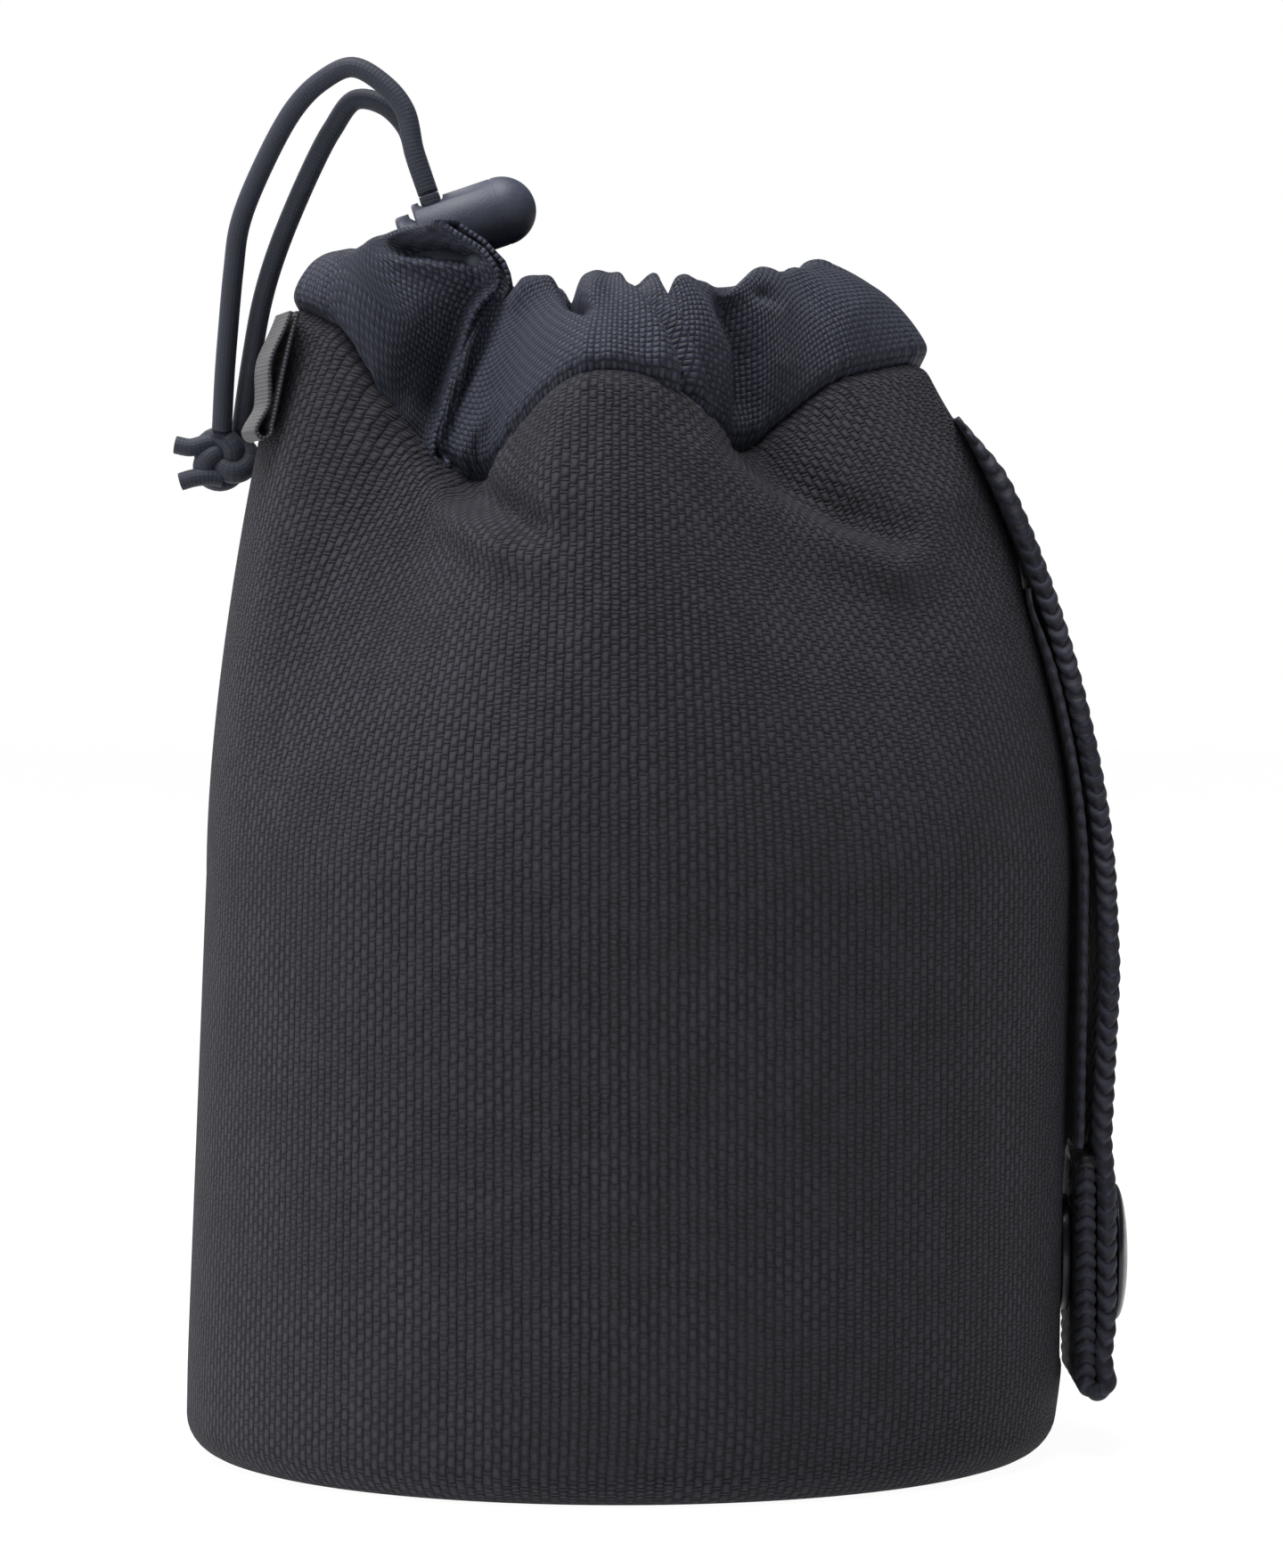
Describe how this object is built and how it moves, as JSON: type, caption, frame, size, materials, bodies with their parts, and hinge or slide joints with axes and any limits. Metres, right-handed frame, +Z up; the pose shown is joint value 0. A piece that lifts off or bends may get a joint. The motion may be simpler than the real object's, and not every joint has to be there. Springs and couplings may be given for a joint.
{
  "type": "drawstring pouch",
  "caption": "Round padded pouch with a gathered drawstring collar, an elastic cord with a sprung lock, and a belt strap that closes with a press stud.",
  "frame": {"origin": "middle of the base panel's flat underside", "axes": "+Z up out of the mouth, -Y to the front where the hem ends and the cord come out at the left, +X to the belt strap"},
  "size_m": [0.1082, 0.0982, 0.155],
  "materials": {
    "body_fabric": "matte",
    "collar_fabric": "matte",
    "padding": "matte",
    "lining_fabric": "matte",
    "webbing": "matte",
    "label_ribbon": "matte",
    "cord_sheath": "matte",
    "lock_plastic": "satin",
    "snap_metal": "gloss",
    "spring_steel": "satin"
  },
  "bodies": {
    "pouch": {"outer_shell": "body_fabric", "foam_wall": "padding", "lining": "lining_fabric", "base_panel": "body_fabric", "base_foam": "padding", "base_lining": "lining_fabric", "collar_channel": "collar_fabric", "drawcord": "cord_sheath", "cord_strand_outer": "cord_sheath", "cord_strand_inner": "cord_sheath", "cord_knot": "cord_sheath", "base_webbing": "webbing", "snap_stud": "snap_metal", "snap_eyelet": "snap_metal"},
    "cord_lock": {"cord_lock_barrel": "lock_plastic", "cord_lock_spring": "spring_steel"},
    "plunger": {"cord_lock_plunger": "lock_plastic"},
    "strap": {"belt_strap": "webbing", "snap_cap": "snap_metal", "snap_socket": "snap_metal"},
    "label": {"side_label": "label_ribbon"}
  },
  "joints": [
    {"name": "cord_lock_slide", "type": "slide", "parent": "pouch", "child": "cord_lock", "axis": [-0.319, 0, 0.9478], "range_m": [0, 0.004]},
    {"name": "plunger_press", "type": "slide", "parent": "cord_lock", "child": "plunger", "axis": [0.9478, 0, 0.319], "range_m": [0, 0.0014], "stiffness_N_per_m": 120, "springref_m": -0.002, "deforming": ["cord_lock_spring"]},
    {"name": "strap_swing", "type": "hinge", "parent": "pouch", "child": "strap", "pos_m": [0.0368, 0, 0.115], "axis": [0, -1, 0], "range_deg": [0, 85]},
    {"name": "label_flip", "type": "hinge", "parent": "pouch", "child": "label", "pos_m": [-0.03664, -0.00712, 0.12625], "axis": [-0.1908, 0.9816, 0], "range_deg": [0, 60]}
  ]
}
